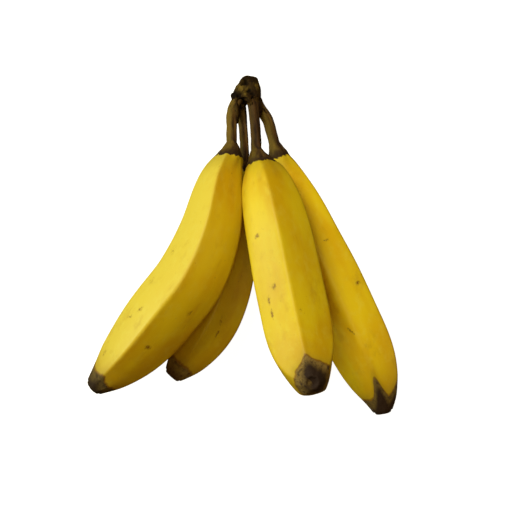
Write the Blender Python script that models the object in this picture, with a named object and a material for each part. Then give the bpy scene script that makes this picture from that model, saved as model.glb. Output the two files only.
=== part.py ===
"""A hand of four bananas, lying on a table.

The hand grew as one. Four fruits hang by thin stems from a small woody crown, which was cut from its
plant. Two of the fruits lie on the table, and the other two lie over them, one of them bending up at its
far end. Each banana is one solid from the root of its stem to its blossom end, and the crown is another,
with a socket for each root.

Units are metres, with +Z up. The origin is at table height, in the middle of the hand. The crown is at
the +Y end.
"""

import math
from dataclasses import dataclass

import bmesh
import bpy
from mathutils import Matrix, Vector
from mathutils.geometry import interpolate_bezier

MM = 0.001

# Sizes that all four bananas share. The flare's length is in neck radii.
NECK_FLARE = 1.6
NECK_FLARE_POWER = 0.85
TIP_RADIUS = 4.4 * MM
TIP_ROUNDING = 1.2 * MM
TIP_ROUNDING_STEPS = 2
SCAR_RIM = 2.0 * MM
SCAR_DEPTH = 1.0 * MM
DARK_TIP_LENGTH = 9.0 * MM

# How a fruit swells behind its neck and narrows to its tip
SHOULDER_ROUNDNESS = 1.35
TAIL_POWER = 2.4

# The five flat sides of a fruit, with soft ridges between them
SIDE_SHARPNESS = 16
SIDE_DEPTH = 0.75
ROUND_BELOW_RADIUS = 4.0 * MM
FLAT_ABOVE_RADIUS = 13.0 * MM

# How finely the meshes are divided
POINTS_AROUND = 20
STEM_RINGS = 8
FRUIT_RINGS = 30
RING_TURN = math.radians(155)
SOCKET_RINGS = 8
CROWN_POINTS_AROUND = 24
CROWN_RINGS = 16
ROUTE_STEP = 1.0 * MM
ROUTE_RELAXING = 14
ON_PLANE = 0.01 * MM
SHARP_EDGE = math.radians(40)

# The crown, and the room around a root in its socket
CROWN_MIDDLE = Vector((0.5, 75.0, 8.4)) * MM
CROWN_REACH = Vector((8.4, 16.6, 9.0)) * MM
CROWN_SQUARENESS = 3.0
CROWN_TAPER_POWER = 1.6
CROWN_LEAN = 0.20
CUT_PLACE = Vector((2.8, 89.9, 8.4)) * MM
CUT_DIRECTION = Vector((0.12, 1.0, 0.35)).normalized()
CUT_RIM = 0.9 * MM
CUT_DEPTH = 0.8 * MM
SOCKET_GAP = 0.40 * MM
SOCKET_LENGTH = 14.0 * MM

# Finishes: colour, roughness
PEEL = ((0.80, 0.52, 0.012), 0.42)
STEM_SKIN = ((0.105, 0.055, 0.014), 0.62)
DARK_TIP = ((0.022, 0.010, 0.006), 0.70)
CROWN_WOOD = ((0.062, 0.032, 0.014), 0.75)


@dataclass
class Banana:
    """One banana: its girth, and its route from the root of the stem to the blossom end, in millimetres.

    Each of its five ridges has an angle in degrees, from the top towards -X, and a reach, which is its
    distance from the middle of the fruit for a fruit with a radius of 1.
    """

    name: str
    stem_radius: float
    neck_radius: float
    fruit_radius: float
    stem_length: float
    shoulder_power: float
    belly_share: float
    ridges: list
    route: list


BANANAS = (
    Banana(
        name="banana_left",
        stem_radius=2.4,
        neck_radius=7.0,
        fruit_radius=18.2,
        stem_length=42.5,
        shoulder_power=2.0,
        belly_share=0.57,
        ridges=[(18, 1.08), (90, 1.08), (162, 1.0), (225, 1.0), (288, 0.95)],
        route=[
            (-1.4, 79.5, 11.0),
            (-5.6, 72.5, 14.0),
            (-6.4, 60.5, 20.5),
            (-6.6, 47.0, 29.0),
            (-11.4, 32.0, 36.0),
            (-16.6, 5.5, 41.8),
            (-25.9, -17.5, 43.0),
            (-38.3, -34.0, 40.2),
            (-53.5, -52.2, 35.0),
            (-67.8, -66.4, 30.5),
            (-79.5, -75.9, 27.5),
        ],
    ),
    Banana(
        name="banana_front",
        stem_radius=2.4,
        neck_radius=6.9,
        fruit_radius=17.2,
        stem_length=45.0,
        shoulder_power=4.2,
        belly_share=0.63,
        ridges=[(2, 1.08), (74, 1.08), (146, 1.08), (218, 1.08), (290, 1.08)],
        route=[
            (4.0, 79.5, 11.0),
            (5.2, 72.5, 14.0),
            (6.2, 60.5, 20.5),
            (7.4, 46.0, 28.5),
            (12.0, 31.5, 37.5),
            (18.5, 3.5, 46.2),
            (22.2, -15.0, 50.0),
            (26.8, -37.5, 58.5),
            (30.6, -56.0, 70.0),
            (33.2, -65.8, 83.0),
            (33.9, -68.0, 95.0),
        ],
    ),
    Banana(
        name="banana_right",
        stem_radius=2.6,
        neck_radius=4.8,
        fruit_radius=17.5,
        stem_length=37.0,
        shoulder_power=3.0,
        belly_share=0.67,
        ridges=[(1, 1.02), (73, 1.08), (144, 1.05), (222, 1.05), (306, 1.15)],
        route=[
            (4.5, 79.5, 4.8),
            (9.4, 72.5, 5.6),
            (13.0, 66.5, 6.6),
            (14.6, 60.5, 7.7),
            (18.0, 48.1, 10.5),
            (23.9, 33.0, 12.3),
            (36.2, 3.0, 15.1),
            (46.9, -19.5, 15.3),
            (64.2, -57.5, 15.3),
            (72.1, -78.5, 15.3),
            (74.6, -90.5, 15.3),
        ],
    ),
    Banana(
        name="banana_back",
        stem_radius=2.0,
        neck_radius=4.0,
        fruit_radius=14.7,
        stem_length=41.0,
        shoulder_power=3.0,
        belly_share=0.64,
        ridges=[(0, 1.08), (72, 1.08), (144, 1.08), (216, 1.08), (288, 1.08)],
        route=[
            (-1.6, 79.5, 4.8),
            (-0.9, 69.5, 5.8),
            (0.1, 58.0, 8.0),
            (0.5, 47.5, 9.6),
            (-1.3, 33.0, 11.0),
            (-6.0, 2.0, 13.2),
            (-13.4, -32.5, 13.4),
            (-28.1, -58.5, 13.4),
            (-38.6, -71.0, 13.4),
        ],
    ),
)


def clear_scene():
    for obj in list(bpy.data.objects):
        bpy.data.objects.remove(obj)


def finish(name, colour, roughness):
    material = bpy.data.materials.new(name)
    material.use_nodes = True
    shader = material.node_tree.nodes["Principled BSDF"]
    shader.inputs["Base Color"].default_value = (*colour, 1.0)
    shader.inputs["Roughness"].default_value = roughness
    shader.inputs["Metallic"].default_value = 0.0
    return material


class Route:
    """A smooth axis through a few points, with its side, up and forward directions at any distance."""

    def __init__(self, points):
        self.points = relaxed(bezier_through([Vector(point) * MM for point in points]))
        self.distances = [0.0]
        for here, after in zip(self.points, self.points[1:]):
            self.distances.append(self.distances[-1] + (after - here).length)
        self.length = self.distances[-1]
        self.sides = carried_sides(self.points)

    def frame_at(self, distance):
        """The matrix that carries a flat ring about the origin to its place across the route."""
        last = len(self.points) - 2
        index = 0
        while index < last and self.distances[index + 1] < distance:
            index += 1
        span = self.distances[index + 1] - self.distances[index]
        share = (distance - self.distances[index]) / span
        place = self.points[index].lerp(self.points[index + 1], share)
        side = self.sides[index].lerp(self.sides[index + 1], share).normalized()
        forward = heading(self.points, index).lerp(heading(self.points, index + 1), share)
        up = forward.cross(side).normalized()
        forward = side.cross(up)
        return Matrix((side, up, forward)).transposed(), place


def bezier_through(points):
    """Closely spaced points of one curve through the given points."""
    before = 2 * points[0] - points[1]
    beyond = 2 * points[-1] - points[-2]
    line = [before, *points, beyond]
    curve = []
    for a, b, c, d in zip(line, line[1:], line[2:], line[3:]):
        handle = (c - b).length / 3
        leave = b + (c - a).normalized() * handle
        arrive = c - (d - b).normalized() * handle
        count = max(2, round((c - b).length / ROUTE_STEP))
        curve += interpolate_bezier(b, leave, arrive, c, count + 1)[:-1]
    return curve + [points[-1]]


def relaxed(points):
    """The same points after each has been drawn a little towards its neighbours, several times."""
    for _ in range(ROUTE_RELAXING):
        middle = [(a + 2 * b + c) / 4 for a, b, c in zip(points, points[1:], points[2:])]
        points = [points[0], *middle, points[-1]]
    return points


def heading(points, index):
    before = points[max(index - 1, 0)]
    after = points[min(index + 1, len(points) - 1)]
    return (after - before).normalized()


def carried_sides(points):
    """A direction square to the route at each point, carried along it without twisting."""
    side = Vector((0, 0, 1)).cross(heading(points, 0)).normalized()
    sides = []
    for index in range(len(points)):
        forward = heading(points, index)
        side = (side - forward * side.dot(forward)).normalized()
        sides.append(side)
    return sides


def radius_at(banana, distance, length):
    """The stem's radius and its flare, then the fruit's swelling shoulder, belly and narrowing tail."""
    past_neck = distance - banana.stem_length * MM
    neck = banana.neck_radius * MM
    if past_neck < 0:
        stem = banana.stem_radius * MM
        flare = max(0.0, 1 + past_neck / (NECK_FLARE * neck))
        return stem + (neck - stem) * flare**NECK_FLARE_POWER
    belly = banana.fruit_radius * MM
    share = past_neck / (length - banana.stem_length * MM)
    if share < banana.belly_share:
        to_belly = 1 - share / banana.belly_share
        swelling = (1 - to_belly**banana.shoulder_power) ** (1 / SHOULDER_ROUNDNESS)
        return neck + (belly - neck) * swelling
    to_tip = min(1.0, (share - banana.belly_share) / (1 - banana.belly_share))
    return TIP_RADIUS + (belly - TIP_RADIUS) * (1 - to_tip**TAIL_POWER)


def sides_between(ridges):
    """The outward direction of each flat side between two ridges, and its distance from the middle."""
    corners = []
    for degrees, reach in ridges:
        angle = math.radians(degrees)
        corners.append(Vector((-math.sin(angle), math.cos(angle))) * reach)
    sides = []
    for here, after in zip(corners, corners[1:] + corners[:1]):
        along = after - here
        outward = Vector((along.y, -along.x)).normalized()
        sides.append((outward, outward.dot(here)))
    return sides


def flat_sided(towards, sides):
    """How far out the five-sided section stands in a direction, about 1 on the whole."""
    total = 0.0
    for outward, distance in sides:
        total += max(0.0, towards.dot(outward) / distance) ** SIDE_SHARPNESS
    return 1 - SIDE_DEPTH + SIDE_DEPTH * (total / 2) ** (-1 / SIDE_SHARPNESS)


def section_at(radius, towards, sides):
    """The radius in a direction: round on the stem, and five-sided where the fruit is thick."""
    flat = (radius - ROUND_BELOW_RADIUS) / (FLAT_ABOVE_RADIUS - ROUND_BELOW_RADIUS)
    flat = min(1.0, max(0.0, flat))
    return radius * (1 + flat * (flat_sided(towards, sides) - 1))


def ring_distance(banana, length, ring):
    """Rings stand evenly along the stem, closest together at the fruit's neck and close at its tip."""
    stem = banana.stem_length * MM
    if ring <= STEM_RINGS:
        return stem * ring / STEM_RINGS
    turn = RING_TURN * (ring - STEM_RINGS) / FRUIT_RINGS
    return stem + (length - stem) * (1 - math.cos(turn)) / (1 - math.cos(RING_TURN))


def tube(rings):
    """A closed straight tube from 0 to 1 along Z, one unit in radius, divided into rings along its length."""
    mesh = bmesh.new()
    bmesh.ops.create_cone(
        mesh, cap_ends=True, segments=POINTS_AROUND, radius1=1.0, radius2=1.0, depth=1.0,
        matrix=Matrix.Translation((0, 0, 0.5)),
    )
    lengthwise = [edge for edge in mesh.edges if edge.verts[0].co.z != edge.verts[1].co.z]
    bmesh.ops.subdivide_edges(mesh, edges=lengthwise, cuts=rings - 1)
    return mesh


def cut_flat_below(mesh):
    """Cuts away what lies below the table's surface, which leaves a small flat spot."""
    everything = mesh.verts[:] + mesh.edges[:] + mesh.faces[:]
    cut = bmesh.ops.bisect_plane(
        mesh, geom=everything, dist=ON_PLANE, plane_co=(0, 0, 0), plane_no=(0, 0, 1), clear_inner=True
    )
    edges = [item for item in cut["geom_cut"] if isinstance(item, bmesh.types.BMEdge)]
    if edges:
        bmesh.ops.holes_fill(mesh, edges=edges, sides=0)


def add_object(name, mesh, materials):
    """The finished mesh as an object, its faces all pointing outwards."""
    data = bpy.data.meshes.new(name)
    bmesh.ops.recalc_face_normals(mesh, faces=mesh.faces[:])
    if mesh.calc_volume(signed=True) < 0:
        bmesh.ops.reverse_faces(mesh, faces=mesh.faces[:])
    mesh.to_mesh(data)
    mesh.free()
    for material in materials:
        data.materials.append(material)
    data.shade_smooth()
    data.set_sharp_from_angle(angle=SHARP_EDGE)
    obj = bpy.data.objects.new(name, data)
    bpy.context.collection.objects.link(obj)
    return obj


def banana_mesh(banana, route):
    """The straight tube given the banana's radius ring by ring, and carried to its place along the route."""
    rings = STEM_RINGS + FRUIT_RINGS
    mesh = tube(rings)
    tip_face = max(mesh.faces, key=lambda face: face.calc_center_median().z)
    dark_from = route.length - DARK_TIP_LENGTH
    sides = sides_between(banana.ridges)
    for face in mesh.faces:
        ring = face.calc_center_median().z * rings
        distance = ring_distance(banana, route.length, ring)
        face.material_index = 1 if ring < STEM_RINGS else 2 if distance > dark_from else 0
    for vert in mesh.verts:
        ring = round(vert.co.z * rings)
        distance = ring_distance(banana, route.length, ring)
        towards = vert.co.xy.normalized()
        radius = section_at(radius_at(banana, distance, route.length), towards, sides)
        directions, place = route.frame_at(distance)
        vert.co = directions @ (towards * radius).to_3d() + place
    mesh.normal_update()
    finish_tip(mesh, tip_face)
    return mesh


def finish_tip(mesh, tip_face):
    """Hollows the scar at the blossom end and rounds the rim around it."""
    rim = tip_face.edges[:]
    bmesh.ops.inset_region(mesh, faces=[tip_face], thickness=SCAR_RIM, depth=-SCAR_DEPTH)
    bmesh.ops.bevel(
        mesh, geom=rim, offset=TIP_ROUNDING, affect="EDGES", segments=TIP_ROUNDING_STEPS, profile=0.5,
        material=-1,
    )


def add_banana(banana, materials):
    route = Route(banana.route)
    mesh = banana_mesh(banana, route)
    cut_flat_below(mesh)
    print(f"{banana.name}: {route.length / MM:.0f} mm along its axis, {len(mesh.faces)} faces")
    return add_object(banana.name, mesh, materials)


def add_socket_cutter(banana):
    """A plain tube round the root of a stem, with a little room all round it."""
    route = Route(banana.route)
    mesh = tube(SOCKET_RINGS)
    radius = banana.stem_radius * MM + SOCKET_GAP
    for vert in mesh.verts:
        distance = vert.co.z * SOCKET_LENGTH - SOCKET_GAP
        directions, place = route.frame_at(distance)
        vert.co = directions @ (vert.co.xy.normalized() * radius).to_3d() + place
    cutter = add_object(f"{banana.name}_socket_cutter", mesh, [])
    cutter.hide_render = True
    cutter.display_type = "WIRE"
    return cutter


def slice_off(mesh, place, direction):
    """Cuts away everything beyond a plane and closes the cut with one face, which is returned."""
    everything = mesh.verts[:] + mesh.edges[:] + mesh.faces[:]
    cut = bmesh.ops.bisect_plane(
        mesh, geom=everything, dist=ON_PLANE, plane_co=place, plane_no=direction, clear_outer=True
    )
    edges = [item for item in cut["geom_cut"] if isinstance(item, bmesh.types.BMEdge)]
    return bmesh.ops.holes_fill(mesh, edges=edges, sides=0)["faces"][0]


def add_crown(materials):
    """A squarish dome, flat where the stems leave it, cut through at its top and resting on a small flat."""
    mesh = bmesh.new()
    upright = Matrix.Rotation(math.pi / 2, 4, "X")
    bmesh.ops.create_uvsphere(
        mesh, u_segments=CROWN_POINTS_AROUND, v_segments=CROWN_RINGS, radius=1.0, matrix=upright
    )
    for vert in mesh.verts:
        angle = math.atan2(vert.co.z, vert.co.x)
        taper = math.sqrt(1 - min(1.0, abs(vert.co.y)) ** CROWN_TAPER_POWER)
        corners = abs(math.cos(angle)) ** CROWN_SQUARENESS + abs(math.sin(angle)) ** CROWN_SQUARENESS
        reach = taper * corners ** (-1 / CROWN_SQUARENESS)
        shape = Vector((reach * math.cos(angle), vert.co.y, reach * math.sin(angle)))
        vert.co = CROWN_MIDDLE + Vector(a * b for a, b in zip(shape, CROWN_REACH))
        vert.co.x += CROWN_LEAN * (vert.co.y - CROWN_MIDDLE.y)
    slice_off(mesh, CROWN_MIDDLE, Vector((0, -1, 0)))
    cut_face = slice_off(mesh, CUT_PLACE, CUT_DIRECTION)
    mesh.normal_update()
    bmesh.ops.inset_region(mesh, faces=[cut_face], thickness=CUT_RIM, depth=-CUT_DEPTH)
    cut_flat_below(mesh)
    return add_object("crown", mesh, materials)


def cut_socket(crown, cutter):
    socket = crown.modifiers.new(cutter.name, "BOOLEAN")
    socket.operation = "DIFFERENCE"
    socket.solver = "EXACT"
    socket.object = cutter


def main():
    clear_scene()
    peel = finish("yellow_peel", *PEEL)
    stem_skin = finish("brown_stem", *STEM_SKIN)
    dark_tip = finish("dark_blossom_end", *DARK_TIP)
    crown_wood = finish("crown_wood", *CROWN_WOOD)
    crown = add_crown([crown_wood])
    for banana in BANANAS:
        add_banana(banana, [peel, stem_skin, dark_tip])
        cut_socket(crown, add_socket_cutter(banana))


main()
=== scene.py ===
# %% [markdown]
# # A hand of four bananas
#
# Four ripe bananas grew on thin stems from one woody crown, which was cut from its plant. The hand lies on
# a pale table and the camera looks straight down on it. This lesson dresses the plain solids of the hand:
# each banana gets a fine skin with its ridges, collar, wrinkles and dried blossom end, and the crown gets
# its knuckles, fibres and cut. The plain solids give the places and the sizes, so they are loaded first.

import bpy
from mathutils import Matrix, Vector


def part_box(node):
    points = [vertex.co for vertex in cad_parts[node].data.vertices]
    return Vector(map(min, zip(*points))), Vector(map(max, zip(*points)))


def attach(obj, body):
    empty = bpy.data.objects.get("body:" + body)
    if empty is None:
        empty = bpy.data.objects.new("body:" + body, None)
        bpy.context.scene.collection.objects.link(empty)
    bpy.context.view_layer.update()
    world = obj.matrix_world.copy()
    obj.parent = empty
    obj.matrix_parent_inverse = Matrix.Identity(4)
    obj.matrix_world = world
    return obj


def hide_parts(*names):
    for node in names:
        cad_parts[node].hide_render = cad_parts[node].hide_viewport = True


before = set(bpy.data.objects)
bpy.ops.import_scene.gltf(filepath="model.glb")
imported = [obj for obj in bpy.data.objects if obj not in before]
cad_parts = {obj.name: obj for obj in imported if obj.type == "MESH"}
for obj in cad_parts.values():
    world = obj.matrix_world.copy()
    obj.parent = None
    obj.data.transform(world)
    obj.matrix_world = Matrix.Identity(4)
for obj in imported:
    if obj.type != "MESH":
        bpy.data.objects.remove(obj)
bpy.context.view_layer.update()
print("solids:", ", ".join(sorted(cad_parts)))

# %% Blender's modules and the unit
import math
from dataclasses import dataclass

import bmesh
import bpy
from mathutils import Matrix, Vector, noise
from mathutils.geometry import interpolate_bezier

MM = 0.001

# %% [markdown]
# ## Camera, light and table
#
# A long lens a little under a metre away keeps the fruits' proportions. The photograph has two soft lights:
# a high one beyond the crown, which throws only a narrow shadow from the front fruit on to the right one,
# and a cooler, low one at the left, which makes the left side of every ridge lemon yellow. The right sides
# face neither and are ochre. A weak lamp overhead reaches down between the fruits, and a weaker one lifts
# the right side of the hand. A dim, warm surrounding light fills the shade, as light that bounces between
# yellow fruits does: a white fill would turn the peel grey.

# %% Camera
CAMERA_PLACE = Vector((6.6, -6.6, 924.5)) * MM
LENS_MM = 120.0
SENSOR_MM = 36.0

camera = bpy.data.objects.new("camera", bpy.data.cameras.new("camera"))
camera.data.lens = LENS_MM
camera.data.sensor_width = SENSOR_MM
camera.location = CAMERA_PLACE
bpy.context.scene.collection.objects.link(camera)
bpy.context.scene.camera = camera
bpy.context.scene.view_settings.view_transform = "Standard"
print("camera", round(CAMERA_PLACE.z / MM), "mm above the table")

# %% One function for a lamp
def add_lamp(name, direction, distance, size, watts, colour):
    """A square soft lamp that looks at the middle of the hand from a direction."""
    lamp = bpy.data.lights.new(name, "AREA")
    lamp.size = size
    lamp.energy = watts
    lamp.color = colour
    obj = bpy.data.objects.new(name, lamp)
    obj.location = Vector(direction).normalized() * distance
    obj.rotation_euler = (-obj.location).to_track_quat("-Z", "Y").to_euler()
    bpy.context.scene.collection.objects.link(obj)
    return obj

# %% Four lamps and the surrounding light
LAMP_DISTANCE = 1.3
HIGH_DIRECTION = (-0.30, 0.46, 0.82)
HIGH_SIZE = 0.45
HIGH_WATTS = 9.8
HIGH_COLOUR = (1.0, 0.95, 0.70)
SIDE_DIRECTION = (-0.92, 0.10, 0.32)
SIDE_SIZE = 0.40
SIDE_WATTS = 7.3
SIDE_COLOUR = (0.87, 1.0, 0.80)
TOP_DIRECTION = (0.0, 0.0, 1.0)
TOP_SIZE = 0.42
TOP_WATTS = 2.0
TOP_COLOUR = (1.0, 0.92, 0.45)
RIGHT_DIRECTION = (0.93, -0.10, 0.30)
RIGHT_SIZE = 0.50
RIGHT_WATTS = 1.2
RIGHT_COLOUR = (1.0, 0.88, 0.50)
FILL_COLOUR = (1.0, 0.50, 0.10, 1.0)
FILL_STRENGTH = 0.10
BACKDROP_COLOUR = (0.92, 0.92, 0.92, 1.0)

add_lamp("high_lamp", HIGH_DIRECTION, LAMP_DISTANCE, HIGH_SIZE, HIGH_WATTS, HIGH_COLOUR)
add_lamp("side_lamp", SIDE_DIRECTION, LAMP_DISTANCE, SIDE_SIZE, SIDE_WATTS, SIDE_COLOUR)
add_lamp("top_lamp", TOP_DIRECTION, LAMP_DISTANCE, TOP_SIZE, TOP_WATTS, TOP_COLOUR)
add_lamp("right_lamp", RIGHT_DIRECTION, LAMP_DISTANCE, RIGHT_SIZE, RIGHT_WATTS, RIGHT_COLOUR)
print("lamps:", HIGH_WATTS, SIDE_WATTS, TOP_WATTS, "and", RIGHT_WATTS, "watts")

# %% [markdown]
# ## One way to add a shader node
#
# Every material below is a chain of nodes. One small function adds a node, sets its properties and fills
# its inputs, each with a plain value or with a link from another node. Colours are written as hex values,
# as a paint program shows them, and one function turns them to the linear values that a shader needs.

# %% Add a node, and read a hex colour
def add(tree, kind, inputs=None, **settings):
    """Adds a node with its settings. The inputs are given in order or by name, each with a plain value,
    another node's output, or another node, which stands for its first output."""
    node = tree.nodes.new(kind)
    for name, value in settings.items():
        setattr(node, name, value)
    inputs = inputs or {}
    for name, value in inputs.items() if isinstance(inputs, dict) else enumerate(inputs):
        if isinstance(value, bpy.types.Node):
            value = value.outputs[0]
        if isinstance(value, bpy.types.NodeSocket):
            tree.links.new(value, node.inputs[name])
        else:
            node.inputs[name].default_value = value
    return node


def colour(hex_code):
    """An sRGB hex colour as linear red, green, blue and alpha."""
    shares = [int(hex_code[i : i + 2], 16) / 255 for i in (1, 3, 5)]
    return (*[s / 12.92 if s <= 0.04045 else ((s + 0.055) / 1.055) ** 2.4 for s in shares], 1.0)


print("middle grey is", round(colour("#808080")[0], 3), "in linear light")

# %% World
world = bpy.data.worlds.new("studio")
world.use_nodes = True
world.node_tree.nodes.clear()
bpy.context.scene.world = world

seen = add(world.node_tree, "ShaderNodeLightPath")
fill = add(world.node_tree, "ShaderNodeBackground", {"Color": FILL_COLOUR, "Strength": FILL_STRENGTH})
backdrop = add(world.node_tree, "ShaderNodeBackground", {"Color": BACKDROP_COLOUR, "Strength": 1.0})
both = add(world.node_tree, "ShaderNodeMixShader", (seen.outputs["Is Camera Ray"], fill, backdrop))
add(world.node_tree, "ShaderNodeOutputWorld", {"Surface": both})
print("surrounding light:", FILL_STRENGTH, "on the hand, and a pale backdrop for the camera")

# %% Table
TABLE_RADIUS = 3.0
BOARD_GREY = "#C8C8C8"
BOARD_ROUGHNESS = 0.9
BOARD_GLOW = 0.96

table_mesh = bmesh.new()
bmesh.ops.create_circle(table_mesh, cap_ends=True, segments=96, radius=TABLE_RADIUS)
table = bpy.data.objects.new("table", bpy.data.meshes.new("table"))
table_mesh.to_mesh(table.data)
table_mesh.free()
bpy.context.scene.collection.objects.link(table)
# The table is brightly lit from within, so it stays white. It sends no light up, so the shade stays deep.
table.visible_diffuse = False
table.visible_glossy = False
white_board = bpy.data.materials.new("white_board")
white_board.use_nodes = True
board = white_board.node_tree.nodes["Principled BSDF"]
board.inputs["Base Color"].default_value = colour(BOARD_GREY)
board.inputs["Roughness"].default_value = BOARD_ROUGHNESS
board.inputs["Emission Color"].default_value = (1.0, 1.0, 1.0, 1.0)
board.inputs["Emission Strength"].default_value = BOARD_GLOW
table.data.materials.append(white_board)
print("table", 2 * TABLE_RADIUS, "m across")

# %% [markdown]
# ## The four bananas as routes and girths
#
# A banana is a bent tube whose girth changes along its length: a thin stem, a quick shoulder, a long belly
# and a tail that narrows to the blossom end. So each banana is described by a route through a few given
# points, and by four radii. The same numbers shape the plain solids, and the fine skins have to keep to them.
# All lengths here are in millimetres.

# %% Routes and girths
@dataclass
class Banana:
    """One banana: its girth, and its route from the root of the stem to the blossom end, in millimetres.

    Each of its five ridges has an angle in degrees, from the top towards -X, and a reach, which is its
    distance from the middle of the fruit for a fruit with a radius of 1.
    """

    name: str
    stem_radius: float
    neck_radius: float
    fruit_radius: float
    stem_length: float
    shoulder_power: float
    belly_share: float
    ridges: list
    route: list


LEFT = Banana(
    "banana_left", 2.4, 7.0, 18.2, 42.5, 2.0, 0.57,
    [(18, 1.08), (90, 1.08), (162, 1.0), (225, 1.0), (288, 0.95)],
    [(-1.4, 79.5, 11.0), (-5.6, 72.5, 14.0), (-6.4, 60.5, 20.5), (-6.6, 47.0, 29.0),
     (-11.4, 32.0, 36.0), (-16.6, 5.5, 41.8), (-25.9, -17.5, 43.0), (-38.3, -34.0, 40.2),
     (-53.5, -52.2, 35.0), (-67.8, -66.4, 30.5), (-79.5, -75.9, 27.5)],
)
FRONT = Banana(
    "banana_front", 2.4, 6.9, 17.2, 45.0, 4.2, 0.63,
    [(2, 1.08), (74, 1.08), (146, 1.08), (218, 1.08), (290, 1.08)],
    [(4.0, 79.5, 11.0), (5.2, 72.5, 14.0), (6.2, 60.5, 20.5), (7.4, 46.0, 28.5), (12.0, 31.5, 37.5),
     (18.5, 3.5, 46.2), (22.2, -15.0, 50.0), (26.8, -37.5, 58.5), (30.6, -56.0, 70.0),
     (33.2, -65.8, 83.0), (33.9, -68.0, 95.0)],
)
RIGHT = Banana(
    "banana_right", 2.6, 4.8, 17.5, 37.0, 3.0, 0.67,
    [(1, 1.02), (73, 1.08), (144, 1.05), (222, 1.05), (306, 1.15)],
    [(4.5, 79.5, 4.8), (9.4, 72.5, 5.6), (13.0, 66.5, 6.6), (14.6, 60.5, 7.7), (18.0, 48.1, 10.5),
     (23.9, 33.0, 12.3), (36.2, 3.0, 15.1), (46.9, -19.5, 15.3), (64.2, -57.5, 15.3),
     (72.1, -78.5, 15.3), (74.6, -90.5, 15.3)],
)
BACK = Banana(
    "banana_back", 2.0, 4.0, 14.7, 41.0, 3.0, 0.64,
    [(0, 1.08), (72, 1.08), (144, 1.08), (216, 1.08), (288, 1.08)],
    [(-1.6, 79.5, 4.8), (-0.9, 69.5, 5.8), (0.1, 58.0, 8.0), (0.5, 47.5, 9.6), (-1.3, 33.0, 11.0),
     (-6.0, 2.0, 13.2), (-13.4, -32.5, 13.4), (-28.1, -58.5, 13.4), (-38.6, -71.0, 13.4)],
)
print("bananas:", ", ".join(banana.name for banana in (LEFT, FRONT, RIGHT, BACK)))

# %% [markdown]
# A smooth curve runs through the points of a route. At each distance along it the skin needs to know which
# way is sideways, up and forward. Carrying the sideways direction along without twisting keeps the ridges
# of the fruit straight, as they grow.

# %% A route with directions
ROUTE_STEP = 1.0 * MM
ROUTE_RELAXING = 14


def bezier_through(points):
    """Closely spaced points of one curve through the given points."""
    line = [2 * points[0] - points[1], *points, 2 * points[-1] - points[-2]]
    curve = []
    for a, b, c, d in zip(line, line[1:], line[2:], line[3:]):
        handle = (c - b).length / 3
        leave = b + (c - a).normalized() * handle
        arrive = c - (d - b).normalized() * handle
        count = max(2, round((c - b).length / ROUTE_STEP))
        curve += interpolate_bezier(b, leave, arrive, c, count + 1)[:-1]
    return curve + [points[-1]]


def relaxed(points):
    """The same points after each has been drawn a little towards its neighbours, several times."""
    for _ in range(ROUTE_RELAXING):
        middle = [(a + 2 * b + c) / 4 for a, b, c in zip(points, points[1:], points[2:])]
        points = [points[0], *middle, points[-1]]
    return points


def heading(points, index):
    """The direction in which the points run at one of them."""
    before = points[max(index - 1, 0)]
    after = points[min(index + 1, len(points) - 1)]
    return (after - before).normalized()


class Route:
    """A smooth axis through a few points, with its side, up and forward directions at any distance."""

    def __init__(self, points):
        self.points = relaxed(bezier_through([Vector(point) * MM for point in points]))
        self.distances = [0.0]
        self.sides = []
        side = Vector((0, 0, 1)).cross(heading(self.points, 0)).normalized()
        for index, here in enumerate(self.points):
            forward = heading(self.points, index)
            side = (side - forward * side.dot(forward)).normalized()
            self.sides.append(side)
            if index:
                self.distances.append(self.distances[-1] + (here - self.points[index - 1]).length)
        self.length = self.distances[-1]

    def frame_at(self, distance):
        """The matrix that carries a flat ring about the origin to its place across the route."""
        last = len(self.points) - 2
        index = 0
        while index < last and self.distances[index + 1] < distance:
            index += 1
        share = (distance - self.distances[index]) / (self.distances[index + 1] - self.distances[index])
        place = self.points[index].lerp(self.points[index + 1], share)
        side = self.sides[index].lerp(self.sides[index + 1], share).normalized()
        forward = heading(self.points, index).lerp(heading(self.points, index + 1), share)
        up = forward.cross(side).normalized()
        return Matrix((side, up, side.cross(up))).transposed(), place


routes = {banana.name: Route(banana.route) for banana in (LEFT, FRONT, RIGHT, BACK)}
for name, route in routes.items():
    print(name, round(route.length / MM), "mm along its axis")

# %% [markdown]
# ## Girth along the fruit
#
# The radius follows three rules, one after another: an even stem that flares into a collar, a shoulder that
# swells quickly to the belly, and a tail that narrows to the blossom end.

# %% Radius along the route
NECK_FLARE = 1.6
NECK_FLARE_POWER = 0.85
TIP_RADIUS = 4.4 * MM
SHOULDER_ROUNDNESS = 1.35
TAIL_POWER = 2.4


def radius_at(banana, distance, length):
    """The plain radius at a distance along a route of the given length."""
    past_neck = distance - banana.stem_length * MM
    neck = banana.neck_radius * MM
    if past_neck < 0:
        stem = banana.stem_radius * MM
        flare = max(0.0, 1 + past_neck / (NECK_FLARE * neck))
        return stem + (neck - stem) * flare**NECK_FLARE_POWER
    belly = banana.fruit_radius * MM
    share = past_neck / (length - banana.stem_length * MM)
    if share < banana.belly_share:
        to_belly = 1 - share / banana.belly_share
        swelling = (1 - to_belly**banana.shoulder_power) ** (1 / SHOULDER_ROUNDNESS)
        return neck + (belly - neck) * swelling
    to_tip = min(1.0, (share - banana.belly_share) / (1 - banana.belly_share))
    return TIP_RADIUS + (belly - TIP_RADIUS) * (1 - to_tip**TAIL_POWER)


print("a banana's tail narrows to", round(TIP_RADIUS / MM, 1), "mm in radius")

# %% [markdown]
# A cut across a banana is not round. It has five flat sides with soft ridges between them, and the light in
# the photograph changes sharply at each ridge. The ridges are the corners of a five-sided figure, and each
# side of it has an outward direction and a distance from the middle. A sum of high powers joins the five
# sides in one formula, and the power says how crisp the ridges are.

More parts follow.
